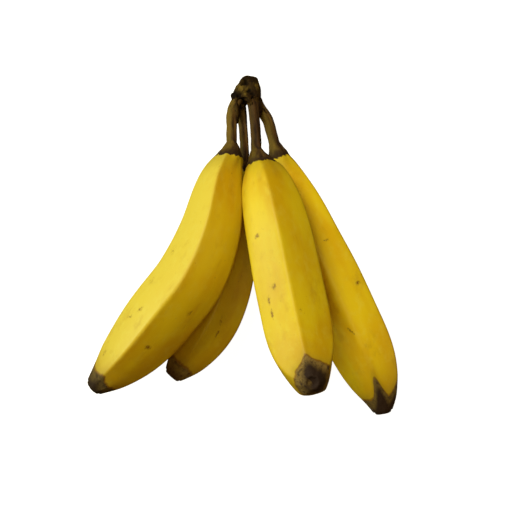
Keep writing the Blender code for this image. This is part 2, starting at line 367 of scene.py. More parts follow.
# %% Sides between ridges
def sides_between(ridges):
    """The outward direction of each flat side between two ridges, and its distance from the middle."""
    corners = []
    for degrees, reach in ridges:
        angle = math.radians(degrees)
        corners.append(Vector((-math.sin(angle), math.cos(angle))) * reach)
    sides = []
    for here, after in zip(corners, corners[1:] + corners[:1]):
        along = after - here
        outward = Vector((along.y, -along.x)).normalized()
        sides.append((outward, outward.dot(here)))
    return sides


print("sides of the front banana:", [round(distance, 2) for _, distance in sides_between(FRONT.ridges)])

# %% Five-sided section
SIDE_SHARPNESS = 26
SIDE_DEPTH = 0.75
ROUND_BELOW_RADIUS = 4.0 * MM
FLAT_ABOVE_RADIUS = 13.0 * MM
SIDE_CHANGE = math.radians(8)


def flat_sided(towards, sides):
    """How far out the five-sided section stands in a direction, about 1 on the whole."""
    total = 0.0
    for outward, distance in sides:
        total += max(0.0, towards.dot(outward) / distance) ** SIDE_SHARPNESS
    return 1 - SIDE_DEPTH + SIDE_DEPTH * (total / 2) ** (-1 / SIDE_SHARPNESS)


def flatness_at(radius):
    """From 0 where the skin is round, on the stem, to 1 where the fruit is thick and five-sided."""
    share = (radius - ROUND_BELOW_RADIUS) / (FLAT_ABOVE_RADIUS - ROUND_BELOW_RADIUS)
    return min(1.0, max(0.0, share))


def on_left_side(angle, ridges):
    """From 0 to 1, how far a direction is on the side between the top ridge and the left one."""
    top, left = (math.radians(degrees) for degrees, _ in ridges[:2])
    off = abs((angle - (top + left) / 2 + math.pi) % math.tau - math.pi)
    return min(1.0, max(0.0, 0.5 + ((left - top) / 2 - off) / SIDE_CHANGE))


def nearest_ridge(angle, ridges):
    """The number of the ridge that is nearest to an angle, and how far off it is, in radians."""
    gaps = []
    for degrees, _ in ridges:
        turn = (angle - math.radians(degrees)) % math.tau
        gaps.append(min(turn, math.tau - turn))
    return gaps.index(min(gaps)), min(gaps)

# %% [markdown]
# ## What a plain tube leaves out
#
# A real skin is never as even as a formula. It has shallow lumps, a fine raised line along each ridge,
# folds that run from the collar on to the shoulders, ribs and lumps on the stem, and a shrivelled end. Each
# is a few tenths of a millimetre, and each is moved into the mesh itself, so it shows in the outline too.

# %% Relief of the fruit
LUMP_SIZE = 24.0 * MM
LUMP_DEPTH = 0.30 * MM
STREAK_DEPTH = 0.05 * MM
STREAK_WIDTH = 4.0 * MM
STREAK_LENGTH = 26.0 * MM
RIDGE_LINE = 0.03 * MM
RIDGE_WIDTH = 1.5 * MM
WAVER_LENGTH = 14.0 * MM
FOLD_DEPTH = 0.55 * MM
FOLD_REACH = 7.0 * MM
FOLD_LENGTH = 30.0 * MM
FOLDS_AROUND = 2.6
NECK_SETTLING = 12.0 * MM
TIP_SETTLING = 14.0 * MM


def around(angle, turns):
    """A point on a circle, so that noise read there runs round the fruit without a seam."""
    return Vector((math.cos(angle), math.sin(angle), 0.0)) * turns


def fruit_relief(angle, radius, from_ridge, past_neck, to_tip):
    """Lumps, faint streaks and a wavering line on each ridge, and folds that fade away from the collar."""
    straight = around(angle, radius)
    lumps = noise.noise((straight + Vector((0, 0, past_neck))) / LUMP_SIZE)
    streaks = noise.noise(straight / STREAK_WIDTH + Vector((0, 0, past_neck / STREAK_LENGTH)))
    ridge = math.exp(-((from_ridge / RIDGE_WIDTH) ** 2))
    waver = 0.7 + 0.3 * noise.noise((around(angle, 4.0).x, 3.1, past_neck / WAVER_LENGTH))
    folds = noise.noise(around(angle, FOLDS_AROUND) + Vector((0, 0, past_neck / FOLD_LENGTH)))
    at_neck = math.exp(-past_neck / FOLD_REACH)
    settled = min(1.0, past_neck / NECK_SETTLING) * min(1.0, max(0.0, to_tip) / TIP_SETTLING)
    relief = LUMP_DEPTH * lumps + STREAK_DEPTH * streaks + RIDGE_LINE * ridge * waver
    return settled * relief + FOLD_DEPTH * folds * at_neck

# %% Relief of the stem and its collar
BARK_THICKNESS = 0.32 * MM
RIBS = 5
RIB_DEPTH = 0.18 * MM
RIB_TWIST = 9.0 * MM
STEM_LUMP_DEPTH = 0.30 * MM
STEM_LUMP_LENGTH = 6.0 * MM
STEM_GRAIN_LENGTH = 3.0 * MM
STEM_GRAIN_SHARE = 0.4
COLLAR_SWELL = 0.60 * MM
COLLAR_BACK = 1.6 * MM
COLLAR_WIDTH = 2.4 * MM
COLLAR_WAVER = 0.6 * MM


def stem_relief(angle, past_neck, seed):
    """Bark with ribs that wind round the stem, lumps, and a swollen, wavy collar near the neck."""
    ribs = math.cos(RIBS * angle + past_neck / RIB_TWIST + seed)
    lumps = noise.noise(around(angle, 1.1) + Vector((seed, 0, past_neck / STEM_LUMP_LENGTH)))
    grain = noise.noise(around(angle, 3.5) + Vector((seed, 0, past_neck / STEM_GRAIN_LENGTH)))
    wavy = COLLAR_BACK + COLLAR_WAVER * noise.noise(around(angle, 1.7) + Vector((0, seed, 0)))
    collar = math.exp(-(((past_neck + wavy) / COLLAR_WIDTH) ** 2))
    lumpy = STEM_LUMP_DEPTH * (lumps + STEM_GRAIN_SHARE * grain)
    return BARK_THICKNESS + RIB_DEPTH * ribs + lumpy + COLLAR_SWELL * collar

# %% [markdown]
# The blossom end is where the flower fell off. The skin there has dried black and shrunk, with a rounded
# rim round a shallow scar. Its outline is a short list of points that starts at the end of the tail, each
# with its distance back from the end and its radius.

# %% Profile of the blossom end
END_PROFILE = [
    (1.2, 4.4), (0.75, 4.32), (0.35, 4.05), (0.1, 3.65), (0.0, 3.2), (0.12, 2.75), (0.5, 2.35),
    (0.8, 2.0), (0.95, 1.4), (1.0, 0.95), (1.0, 0.65), (1.0, 0.3),
]
SHRIVEL_REACH = 13.0 * MM
SHRIVEL_DEPTH = 0.5 * MM
CREASES_AROUND = 1.9
CREASE_LENGTH = 16.0 * MM
CREASE_SWELL = 0.3
CREASE_CUT = 1.6


def end_relief(angle, to_tip, seed):
    """Creases that run from the dried end back on to the tail."""
    creases = abs(noise.noise(around(angle, CREASES_AROUND) + Vector((0, seed, to_tip / CREASE_LENGTH))))
    near = max(0.0, 1 - to_tip / SHRIVEL_REACH)
    return SHRIVEL_DEPTH * near * (CREASE_SWELL - CREASE_CUT * creases)


print("blossom end:", len(END_PROFILE), "points in profile")

# %% [markdown]
# ## The fine skin
#
# The skin starts as a plain cylinder, made by an operator and cut into rings. Each ring is then given a
# distance along the route and a radius, and every point on it is pushed out or in by the relief. The rings
# are counted in three runs: the stem, the fruit, and the blossom end with its scar.

# %% Rings along the skin
POINTS_AROUND = 120
STEM_RINGS = 84
FRUIT_RINGS = 200
FRUIT_TURN = math.radians(155)


def stations(banana, route):
    """The distance along the route and the plain radius of every ring, from the root to the scar's middle."""
    stem = banana.stem_length * MM
    found = [stem * ring / STEM_RINGS for ring in range(STEM_RINGS)]
    fruit_end = route.length - END_PROFILE[0][0] * MM
    for ring in range(FRUIT_RINGS):
        turn = FRUIT_TURN * ring / FRUIT_RINGS
        found.append(stem + (fruit_end - stem) * (1 - math.cos(turn)) / (1 - math.cos(FRUIT_TURN)))
    rows = [(distance, radius_at(banana, distance, route.length)) for distance in found]
    return rows + [(route.length - back * MM, radius * MM) for back, radius in END_PROFILE]


def tube(rings):
    """A closed straight tube from 0 to 1 along Z, one unit in radius, divided into rings along its length."""
    mesh = bmesh.new()
    bmesh.ops.create_cone(
        mesh, cap_ends=True, segments=POINTS_AROUND, radius1=1.0, radius2=1.0, depth=1.0,
        matrix=Matrix.Translation((0, 0, 0.5)),
    )
    lengthwise = [edge for edge in mesh.edges if edge.verts[0].co.z != edge.verts[1].co.z]
    bmesh.ops.subdivide_edges(mesh, edges=lengthwise, cuts=rings - 1)
    return mesh


print("a skin has", STEM_RINGS + FRUIT_RINGS + len(END_PROFILE), "rings of", POINTS_AROUND, "points")

# %% [markdown]
# Each point also remembers where it was on the straight tube, how far it is from the neck and the blossom
# end, how far the dark end creeps up there, and how much painted highlight it has. The materials read those
# values, so that streaks run along the bent fruit. The dark end creeps further up some ridges than others, so
# each fruit has five lengths, one for each ridge from the top one round. The two upper fruits have a painted
# highlight on their upper left side: the peel there is made paler, where the low lamp at the left falls.

# %% What differs from fruit to fruit
@dataclass
class Looks:
    """The looks of one banana, with angles in degrees from the top towards -X, and lengths in millimetres.

    The collar and the dried end both have a tilted edge: it reaches so much further on to the fruit, towards
    one angle. The stem is olive to the left of olive_to, across the stem, partly its own colour and partly a
    painted highlight where the light falls, and stem_tint darkens its upper part. pale is a painted
    highlight: how much paler the upper left side of the peel is made. The tint is painted shade, which
    darkens the whole peel by the shade that the fruit lies in. The dried end is the first of its two colours
    at the scar, and mottled with the second further back; the second is partly a painted highlight, and the
    back fruit's colours are painted lighter against the shade it lies in.
    """

    seed: float
    spurs: tuple
    collar_tilt: tuple
    end_tilt: tuple
    # painted highlight: how much paler the upper left side of the peel is made
    pale: float
    # painted shade: darkens the whole peel by the shade that the fruit lies in
    painted_shade_tint: str
    # the olive on the left of the stem is partly its own colour and partly a painted highlight
    olive_to: float
    stem_tint: str
    collar_darkness: float
    # the tan second colour is partly a painted highlight; the back fruit's are painted lighter against its
    # shade
    end_colours: tuple


LEFT_LOOKS = Looks(
    seed=1.3, spurs=(3.5, 1.0, 2.0, 3.0, 1.0), collar_tilt=(2.2, 90), end_tilt=(0.0, 0),
    pale=0.85, painted_shade_tint="#E9E5E9", olive_to=-0.6, stem_tint="#FFFFFF", collar_darkness=0.92,
    end_colours=("#30200F", "#6E5A2C"),
)
FRONT_LOOKS = Looks(
    seed=4.7, spurs=(4.0, -1.0, 0.0, 1.0, 0.5), collar_tilt=(2.8, -35), end_tilt=(1.8, -80),
    pale=0.15, painted_shade_tint="#EAEBE7", olive_to=-0.8, stem_tint="#BAACA0", collar_darkness=0.82,
    end_colours=("#2C1B12", "#94793E"),
)
RIGHT_LOOKS = Looks(
    seed=8.2, spurs=(12.0, 1.0, 3.0, 2.0, 6.0), collar_tilt=(0.8, 0), end_tilt=(0.0, 0),
    pale=0.0, painted_shade_tint="#FFFFFF", olive_to=0.8, stem_tint="#FFFFFF", collar_darkness=0.85,
    end_colours=("#362215", "#7E6834"),
)
# The back fruit lies deepest in the shade of the others, so its tint paints the darkest shade.
BACK_LOOKS = Looks(
    seed=12.9, spurs=(0.0, 0.5, 1.0, 2.0, -2.0), collar_tilt=(0.0, 0), end_tilt=(0.0, 0),
    pale=0.0, painted_shade_tint="#DCD8D0", olive_to=-1.2, stem_tint="#FFFFFF", collar_darkness=0.75,
    # painted light: this dried end is made lighter against the shade the back fruit lies in
    end_colours=("#523619", "#8A7238"),
)

# %% Turn a mesh into a piece
def add_piece(name, mesh, materials):
    """The finished mesh as an object at the origin, its faces all pointing outwards."""
    bmesh.ops.recalc_face_normals(mesh, faces=mesh.faces[:])
    if mesh.calc_volume(signed=True) < 0:
        bmesh.ops.reverse_faces(mesh, faces=mesh.faces[:])
    data = bpy.data.meshes.new(name)
    mesh.to_mesh(data)
    mesh.free()
    data.shade_smooth()
    for material in materials:
        data.materials.append(material)
    piece = bpy.data.objects.new(name, data)
    bpy.context.scene.collection.objects.link(piece)
    return piece

# %% Build a skin
SPUR_WIDTH = 2.6 * MM
BARK_FADE = 1.2 * MM
THINNEST_RIDGED = 3.0 * MM


def tilted(tilt, angle):
    """How much further a tilted edge reaches in a direction."""
    reach, towards = tilt
    return reach * MM * math.cos(angle - math.radians(towards))


def skin_mesh(banana, looks):
    """The tube bent along its route, with its relief and with what each point remembers."""
    route = routes[banana.name]
    rows = stations(banana, route)
    mesh = tube(len(rows) - 1)
    straight_layer = mesh.verts.layers.float_vector.new("straight")
    neck_layer = mesh.verts.layers.float.new("past_neck")
    tip_layer = mesh.verts.layers.float.new("to_tip")
    spur_layer = mesh.verts.layers.float.new("spur")
    painted_highlight_layer = mesh.verts.layers.float.new("pale")
    sides = sides_between(banana.ridges)
    frames = [route.frame_at(distance) for distance, _ in rows]
    for vert in mesh.verts:
        ring = round(vert.co.z * (len(rows) - 1))
        distance, plain = rows[ring]
        directions, place = frames[ring]
        towards = vert.co.xy.normalized()
        angle = math.atan2(towards.y, towards.x) - math.pi / 2
        past_neck = distance - banana.stem_length * MM
        to_tip = route.length - distance
        radius = plain * (1 + flatness_at(plain) * (flat_sided(towards, sides) - 1))
        ridge, turn = nearest_ridge(angle, banana.ridges)
        from_ridge = turn * max(radius, THINNEST_RIDGED)
        relief = stem_relief(angle, past_neck, looks.seed) * math.exp(-max(0.0, past_neck) / BARK_FADE)
        if past_neck > 0:
            relief += fruit_relief(angle, radius, from_ridge, past_neck, to_tip)
        if to_tip < SHRIVEL_REACH:
            relief += end_relief(angle, to_tip, looks.seed) * min(1.0, plain / TIP_RADIUS)
        vert[straight_layer] = (towards * radius).to_3d() + Vector((0, 0, past_neck))
        vert[neck_layer] = past_neck - tilted(looks.collar_tilt, angle)
        vert[tip_layer] = to_tip - tilted(looks.end_tilt, angle)
        # painted highlight: the peel is made paler on its upper left side, where the low left lamp falls
        vert[painted_highlight_layer] = looks.pale * on_left_side(angle, banana.ridges)
        vert[spur_layer] = looks.spurs[ridge] * MM * math.exp(-((from_ridge / SPUR_WIDTH) ** 2))
        vert.co = directions @ (towards * (radius + relief)).to_3d() + place
    return mesh

# %% [markdown]
# The fruit that lies on the table is pressed a little flat where it touches. The lowest points are lifted
# to the table's height, which leaves the same small flat spot as the plain solid has.

# %% Press flat on the table
def rest_on_table(mesh):
    """Lifts every point that is under the table up to it."""
    for vert in mesh.verts:
        vert.co.z = max(vert.co.z, 0.0)

# %% [markdown]
# ## Materials
#
# ### Banana peel
#
# Ripe peel is a thick, waxy skin: a saturated yellow with a satin sheen, paler in patches and more orange
# in others, with faint lengthwise fibres under the wax and tiny pores. Near the neck it turns olive, and at
# the blossom end it browns before it goes black. Where skin is bruised or rubbed it has brown flecks.
#
# The stem is the same skin dried to a brown bark, with olive left on it in streaks. The olive lies on its
# left side, where the light falls, so it is partly a painted highlight. Both are one material, because on
# the fruit one turns into the other, along a wavy line.

# %% Colours of the skin
PEEL_YELLOW = "#FFDF19"
PEEL_PALE_AND_HIGHLIGHT = "#FFEC58"
PEEL_DEEP = "#F2C40A"
PEEL_OLIVE = "#A8942A"
PEEL_SMUDGE = "#B98A12"
FLECK_BROWN = "#855A10"
EDGE_BROWN = "#7A4A16"
STEM_BROWN = "#6C5020"
STEM_DARK = "#2F1A0A"
STEM_OLIVE_AND_HIGHLIGHT = "#806A20"
STEM_RED = "#613C18"

# %% [markdown]
# Most of the finish is one colour laid over another, as a painter lays coats. A coat follows a value, such
# as noise or the distance from the neck, and comes in softly over a band of that value. A band is written
# as a Map Range node takes it: the value at its two ends, and then how much of the coat there is at each.

# %% A coat of colour
SOFTLY = {"interpolation_type": "SMOOTHSTEP"}
MIX_SHARE = 0
MIX_UNDER = 6
MIX_OVER = 7
MIX_RESULT = 2


def coat(tree, under, over, where, band=None, blend_type="MIX"):
    """Lays one colour over another. Without a band, where is itself the share that the coat covers."""
    if band:
        where = add(tree, "ShaderNodeMapRange", (where, *band), **SOFTLY)
    layers = {MIX_SHARE: where, MIX_UNDER: under, MIX_OVER: over}
    return add(tree, "ShaderNodeMix", layers, data_type="RGBA", blend_type=blend_type).outputs[MIX_RESULT]

# %% [markdown]
# Skin is never one even colour. Its patterns are noise that is read along the straight tube and stretched
# along the fruit, from broad patches down to pores. Each is given by the width and the length of its
# patches on the real fruit. The pores are drawn about twice as coarse as they are, because finer ones would
# not show.

# %% Patterns of the skin
# Each pattern has the width and the length of its patches in millimetres, its detail and its roughness.
PATCHES = (14.0, 34.0, 2.0, 0.5)
FIBRES = (1.1, 16.0, 3.0, 0.6)
MOTTLE = (3.5, 5.0, 4.0, 0.6)
SMUDGES = (7.0, 12.0, 4.0, 0.65)
WANDER = (2.4, 5.0, 3.0, 0.5)
FLECK_GRAIN = (0.9, 1.3, 3.0, 0.7)
SPECKS = (1.6, 2.2, 1.0, 0.5)
SPECK_PATCHES = (13.0, 18.0, 1.0, 0.5)
BARK_STREAKS = (1.8, 14.0, 3.0, 0.6)
RUST = (2.6, 11.0, 2.0, 0.5)
ASH = (2.2, 3.5, 4.0, 0.65)
PORES = (0.45, 0.6, 2.0, 0.5)
CRUST = (0.9, 3.0, 5.0, 0.7)


def streaky(tree, straight, pattern):
    """One of the patterns, as noise that runs along the fruit."""
    width, length, detail, roughness = pattern
    scale = (1 / (width * MM), 1 / (width * MM), 1 / (length * MM))
    mapped = add(tree, "ShaderNodeMapping", {"Vector": straight, "Scale": scale}, vector_type="POINT")
    inputs = {"Vector": mapped, "Scale": 1.0, "Detail": detail, "Roughness": roughness}
    return add(tree, "ShaderNodeTexNoise", inputs)

# %% [markdown]
# The flecks are placed one by one where the fruits in the photograph have them. Each is an ellipsoid round
# a point on the skin, so a fleck is a soft spot of brown where the skin passes through it. Its place is
# given as seen from above, and a ray cast down on the finished skin gives its height.

# %% Flecks
PHOTO_PIXELS = 512
FLECK_EDGE = 1.7
FLECK_THICKNESS = 3.0
ABOVE_EVERYTHING = 150.0


@dataclass
class Fleck:
    """A brown mark: its place and its half length and half width in millimetres, its heading in degrees
    from the X axis, and its strength from 0 to 1."""

    x: float
    y: float
    long: float
    wide: float
    heading: float
    strength: float


def seen_place(pixel_x, pixel_y, height):
    """The place in millimetres, at a height, of a pixel in the 512-pixel frame of the photograph."""
    per_pixel = (CAMERA_PLACE.z / MM - height) / (LENS_MM * PHOTO_PIXELS / SENSOR_MM)
    x = CAMERA_PLACE.x / MM + (pixel_x - PHOTO_PIXELS / 2) * per_pixel
    return x, CAMERA_PLACE.y / MM - (pixel_y - PHOTO_PIXELS / 2) * per_pixel


def fleck_mask(tree, place, flecks, skin):
    """How strongly the skin is marked at each place: the strongest of all the flecks there."""
    mask = 0.0
    for fleck in flecks:
        start = Vector((fleck.x, fleck.y, ABOVE_EVERYTHING)) * MM
        hit, top, _, _ = skin.ray_cast(start, Vector((0, 0, -1)))
        if not hit:
            print("no skin under the fleck at", fleck.x, fleck.y)
            continue
        inputs = {"Vector": place, "Location": top, "Rotation": (0, 0, math.radians(fleck.heading)),
                  "Scale": (fleck.long * MM, fleck.wide * MM, FLECK_THICKNESS * MM)}
        local = add(tree, "ShaderNodeMapping", inputs, vector_type="TEXTURE")
        away = add(tree, "ShaderNodeVectorMath", (local,), operation="LENGTH").outputs["Value"]
        inside = add(tree, "ShaderNodeMapRange", (away, FLECK_EDGE, 0.0, 0.0, fleck.strength), **SOFTLY)
        mask = add(tree, "ShaderNodeMath", (mask, inside), operation="MAXIMUM")
    return mask

# %% [markdown]
# The edge of a fleck is broken up by fine noise. A few specks, too many to place by hand, are scattered
# between the flecks by noise of their own, which shows only where a second, broad noise lets it.

# %% Ragged flecks and scattered specks
MIDDLE_NOISE = 0.5
NEAR_FLECK = (0.0, 0.25, 0.0, 2.4)
INSIDE_FLECK = (0.0, 1.1, 0.0, 1.0)
INSIDE_SPECK = (0.70, 0.80, 0.0, 0.35)
SPECKLED = (0.50, 0.72, 0.0, 1.0)


def marked(tree, straight, mask):
    """How brown the marks make each place: the flecks with ragged edges, and the specks."""
    grain = streaky(tree, straight, FLECK_GRAIN)
    grain = add(tree, "ShaderNodeMath", (grain, MIDDLE_NOISE), operation="SUBTRACT")
    near = add(tree, "ShaderNodeMapRange", (mask, *NEAR_FLECK), **SOFTLY)
    ragged = add(tree, "ShaderNodeMath", (grain, near, mask), operation="MULTIPLY_ADD")
    inside = add(tree, "ShaderNodeMapRange", (ragged, *INSIDE_FLECK), **SOFTLY)
    specks = add(tree, "ShaderNodeMapRange", (streaky(tree, straight, SPECKS), *INSIDE_SPECK), **SOFTLY)
    speckled = add(tree, "ShaderNodeMapRange", (streaky(tree, straight, SPECK_PATCHES), *SPECKLED), **SOFTLY)
    scattered = add(tree, "ShaderNodeMath", (specks, speckled), operation="MULTIPLY")
    return add(tree, "ShaderNodeMath", (inside, scattered), operation="MAXIMUM")

# %% [markdown]
# The peel itself gets its coats from the broad ones to the fine ones: deeper and paler patches, with a
# painted highlight that makes the upper left side paler, fibres, a tint that paints the shade of this one
# banana over its whole peel, smudges, olive near the neck, and brown and olive towards the dried end. The
# last ones follow distances that the skin remembers.

# %% Colour of the peel
DARK_END = 9.0 * MM
DEEP_PATCHES = (0.35, 0.70, 0.0, 1.0)
PALE_MOTTLE = (0.45, 0.80, 0.0, 0.30)
DEEP_FIBRES = (0.55, 0.85, 0.0, 0.20)
BROWN_SMUDGES = (0.52, 0.80, 0.0, 0.35)
OLIVE_NECK = (14.0 * MM, 0.0, 0.0, 0.35)
RIPEST_TAIL = (DARK_END + 20.0 * MM, DARK_END, 0.0, 0.45)
OLIVE_TAIL = (DARK_END + 7.0 * MM, DARK_END, 0.0, 0.40)


def peel_colour(tree, straight, fibres, mottle, pale, from_neck, end_from, painted_shade_tint):
    """The colour of the peel without its marks, its stem and its dried end."""
    peel = coat(tree, colour(PEEL_YELLOW), colour(PEEL_DEEP), streaky(tree, straight, PATCHES), DEEP_PATCHES)
    # painted highlight on the upper left side, added to the random pale mottle
    mottled = add(tree, "ShaderNodeMapRange", (mottle, *PALE_MOTTLE), **SOFTLY)
    paler_and_highlight = add(tree, "ShaderNodeMath", (pale, mottled), operation="ADD")
    peel = coat(tree, peel, colour(PEEL_PALE_AND_HIGHLIGHT), paler_and_highlight)
    peel = coat(tree, peel, colour(PEEL_DEEP), fibres, DEEP_FIBRES)
    # painted shade: the tint darkens the whole peel of each fruit by the shade it lies in
    peel = coat(tree, peel, colour(painted_shade_tint), 1.0, blend_type="MULTIPLY")
    peel = coat(tree, peel, colour(PEEL_SMUDGE), streaky(tree, straight, SMUDGES), BROWN_SMUDGES)
    peel = coat(tree, peel, colour(PEEL_OLIVE), from_neck, OLIVE_NECK)
    peel = coat(tree, peel, colour(PEEL_SMUDGE), end_from, RIPEST_TAIL)
    return coat(tree, peel, colour(PEEL_OLIVE), end_from, OLIVE_TAIL)

# %% Colour of the stem
LIT_OLIVE_WANDER = 3.0 * MM
LIT_OLIVE_SOFTNESS = 1.5
LIT_OLIVE_SHARE = 0.60
BROWN_BARK = (0.35, 0.70, 0.0, 1.0)
RUSTY_BARK = (0.52, 0.75, 0.0, 0.7)
UPPER_STEM = (-10.0 * MM, -18.0 * MM, 0.0, 1.0)
COLLAR_START = -6.0 * MM
COLLAR_END = -1.0 * MM


def bark_colour(tree, straight, wander, from_neck, looks):
    """Brown bark in dark and rusty streaks, olive partly as a painted highlight on the left, and a dark
    collar.
    """
    streaks = streaky(tree, straight, BARK_STREAKS)
    bark = coat(tree, colour(STEM_DARK), colour(STEM_BROWN), streaks, BROWN_BARK)
    bark = coat(tree, bark, colour(STEM_RED), streaky(tree, straight, RUST), RUSTY_BARK)
    # olive on the left side of the stem, where the light falls: partly a painted highlight
    across = add(tree, "ShaderNodeSeparateXYZ", (straight,)).outputs["X"]
    olive_and_highlight = add(tree, "ShaderNodeMath", (wander, LIT_OLIVE_WANDER, across), operation="MULTIPLY_ADD")
    bare_from = (looks.olive_to + LIT_OLIVE_SOFTNESS) * MM
    olive_from = (looks.olive_to - LIT_OLIVE_SOFTNESS) * MM
    bark = coat(tree, bark, colour(STEM_OLIVE_AND_HIGHLIGHT), olive_and_highlight, (bare_from, olive_from, 0.0, LIT_OLIVE_SHARE))
    bark = coat(tree, bark, colour(looks.stem_tint), from_neck, UPPER_STEM, "MULTIPLY")
    collar = (COLLAR_START, COLLAR_END, 0.0, looks.collar_darkness)
    return coat(tree, bark, colour(STEM_DARK), from_neck, collar)

# %% Colour of the dried end
TAN_BACK = (DARK_END - 9.0 * MM, DARK_END - 2.0 * MM, 0.0, 0.9)
TAN_ASH = (0.25, 0.60, 0.0, 1.0)


def dried_end_colour(tree, straight, end_from, end_colours):
    """Nearly black at the scar, and mottled with tan further back."""
    # the tan further back is partly the dried end's own colour and partly a painted highlight
    at_scar, further_back = (colour(hex_code) for hex_code in end_colours)
    back = add(tree, "ShaderNodeMapRange", (end_from, *TAN_BACK), **SOFTLY)
    ash = add(tree, "ShaderNodeMapRange", (streaky(tree, straight, ASH), *TAN_ASH), **SOFTLY)
    return coat(tree, at_scar, further_back, add(tree, "ShaderNodeMath", (back, ash), operation="MULTIPLY"))

# %% [markdown]
# The surface is as important as the colour. Wax makes the peel satin, and the bark and the dried end are
# dull. The fibres and pores are too fine to model, so they are a bump, and so is the crust of the bark.

# %% Surface of the skin
WAX_ROUGHNESS = 0.40
MOTTLE_ROUGHNESS = 0.16
DRY_ROUGHNESS = 0.35
PEEL_IOR = 1.42
PEEL_SPECULAR = 0.45
FIBRE_HEIGHT = 0.6
PORE_HEIGHT = 0.25
CRUST_HEIGHT = 4.0
BUMP_STRENGTH = 0.6
BUMP_HEIGHT = 0.12 * MM


def finish_surface(tree, shader, straight, fibres, mottle, dry):
    """Gives the shader its roughness, gloss and bump. It is dull and crusty where the skin is dry."""
    rough = add(tree, "ShaderNodeMath", (mottle, MOTTLE_ROUGHNESS, WAX_ROUGHNESS), operation="MULTIPLY_ADD")
    rough = add(tree, "ShaderNodeMath", (dry, DRY_ROUGHNESS, rough), operation="MULTIPLY_ADD")
    tree.links.new(rough.outputs[0], shader.inputs["Roughness"])
    shader.inputs["IOR"].default_value = PEEL_IOR
    shader.inputs["Specular IOR Level"].default_value = PEEL_SPECULAR
    height = add(tree, "ShaderNodeMath", (fibres, FIBRE_HEIGHT), operation="MULTIPLY")
    pores = streaky(tree, straight, PORES)
    height = add(tree, "ShaderNodeMath", (pores, PORE_HEIGHT, height), operation="MULTIPLY_ADD")
    crust = add(tree, "ShaderNodeMath", (streaky(tree, straight, CRUST), dry), operation="MULTIPLY")
    height = add(tree, "ShaderNodeMath", (crust, CRUST_HEIGHT, height), operation="MULTIPLY_ADD")
    bump = {"Height": height, "Strength": BUMP_STRENGTH, "Distance": BUMP_HEIGHT}
    tree.links.new(add(tree, "ShaderNodeBump", bump).outputs["Normal"], shader.inputs["Normal"])

# %% [markdown]
# The parts are put together by masks: where the stem ends, and where the dried end begins. Each compares a
# distance that the skin remembers with a limit, and noise moves the distance, so that no border is a plain
# ring.

# %% Peel material
NECK_WANDER = 5.0 * MM
END_WANDER = 3.0 * MM
BARK_EDGE = (1.0 * MM, 0.1 * MM, 0.0, 1.0)
BROWN_EDGE = (DARK_END + 1.6 * MM, DARK_END, 0.0, 0.8)
DARK_EDGE = (DARK_END + 0.3 * MM, DARK_END - 0.9 * MM, 0.0, 1.0)


def peel_material(name, skin, flecks, looks):
    """Ripe peel with its stem bark and dried end. It is satin, since the wax is thin and finely pored."""
    material = bpy.data.materials.new(name)
    material.use_nodes = True
    tree = material.node_tree
    shader = tree.nodes["Principled BSDF"]
    place = add(tree, "ShaderNodeTexCoord").outputs["Object"]
    straight = add(tree, "ShaderNodeAttribute", attribute_name="straight").outputs["Vector"]
    past_neck, to_tip, spur, pale = (
        add(tree, "ShaderNodeAttribute", attribute_name=layer).outputs["Fac"]
        for layer in ("past_neck", "to_tip", "spur", "pale")
    )
    fibres = streaky(tree, straight, FIBRES)
    mottle = streaky(tree, straight, MOTTLE)
    wander = streaky(tree, straight, WANDER)
    wander = add(tree, "ShaderNodeMath", (wander, MIDDLE_NOISE), operation="SUBTRACT")
    from_neck = add(tree, "ShaderNodeMath", (wander, NECK_WANDER, past_neck), operation="MULTIPLY_ADD")
    past_spur = add(tree, "ShaderNodeMath", (to_tip, spur), operation="SUBTRACT")
    end_from = add(tree, "ShaderNodeMath", (wander, END_WANDER, past_spur), operation="MULTIPLY_ADD")
    bark_mask = add(tree, "ShaderNodeMapRange", (from_neck, *BARK_EDGE), **SOFTLY)
    end_mask = add(tree, "ShaderNodeMapRange", (end_from, *DARK_EDGE), **SOFTLY)

    peel = peel_colour(tree, straight, fibres, mottle, pale, from_neck, end_from, looks.painted_shade_tint)
    marks = marked(tree, straight, fleck_mask(tree, place, flecks, skin))
    peel = coat(tree, peel, colour(FLECK_BROWN), marks)
    peel = coat(tree, peel, bark_colour(tree, straight, wander, from_neck, looks), bark_mask)
    peel = coat(tree, peel, colour(EDGE_BROWN), end_from, BROWN_EDGE)
    peel = coat(tree, peel, dried_end_colour(tree, straight, end_from, looks.end_colours), end_mask)
    tree.links.new(peel, shader.inputs["Base Color"])
    dry = add(tree, "ShaderNodeMath", (bark_mask, end_mask), operation="MAXIMUM")
    finish_surface(tree, shader, straight, fibres, mottle, dry)
    return material

# %% Where the flecks are
def flecks_at(rows):
    """Flecks from rows of pixel x, pixel y, height, half length, half width, heading and strength."""
    return [Fleck(*seen_place(px, py, height), long, wide, turn, strength)
            for px, py, height, long, wide, turn, strength in rows]


